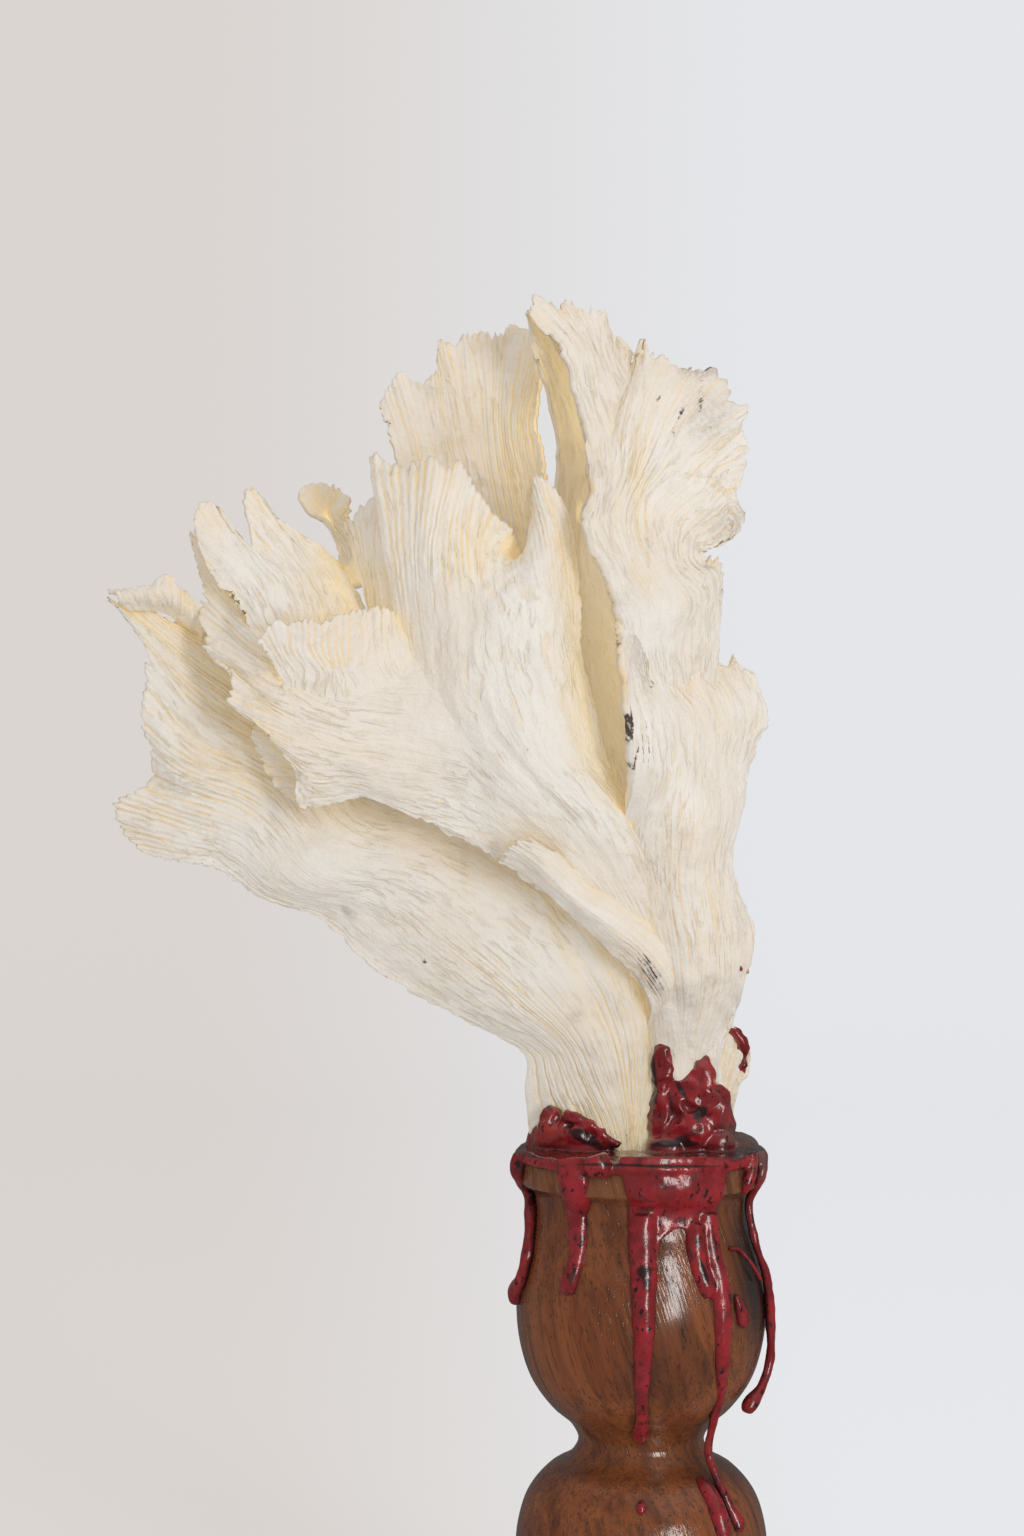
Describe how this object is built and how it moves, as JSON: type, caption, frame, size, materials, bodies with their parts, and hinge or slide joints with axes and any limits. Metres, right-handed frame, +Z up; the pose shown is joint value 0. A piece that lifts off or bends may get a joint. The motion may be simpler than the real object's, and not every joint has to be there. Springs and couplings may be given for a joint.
{
  "type": "lettuce coral on a turned wooden stand",
  "caption": "Dried lettuce coral of thin fluted fronds, held upright by poured red wax on the rim of a turned wooden holder with a round foot.",
  "frame": {"origin": "centre of the foot's flat underside", "axes": "+Z up along the stand's turning axis, -Y towards the front, +X right; the bunch leans towards -X"},
  "size_m": [0.2243, 0.1191, 0.4602],
  "materials": {
    "coral": "matt dry limestone skeleton, cream with ochre grooves",
    "wood": "satin oiled brown hardwood with dark grain",
    "wax": "glossy dark red wax, darker where it is thick or sooty"
  },
  "bodies": {
    "root": {"stand": "wood", "trunk": "coral", "lower_frond": "coral", "folded_tip": "coral", "centre_frond": "coral", "front_fold": "coral", "left_frond": "coral", "under_lip": "coral", "left_lip": "coral", "finger_frond": "coral", "curled_tip": "coral", "back_frond": "coral", "crest_frond": "coral", "right_frond": "coral", "upper_frond": "coral", "top_fold": "coral", "side_flap": "coral", "wax": "wax", "wax_tear": "wax", "wax_thread": "wax", "wax_blob": "wax", "wax_bead": "wax"}
  },
  "joints": []
}
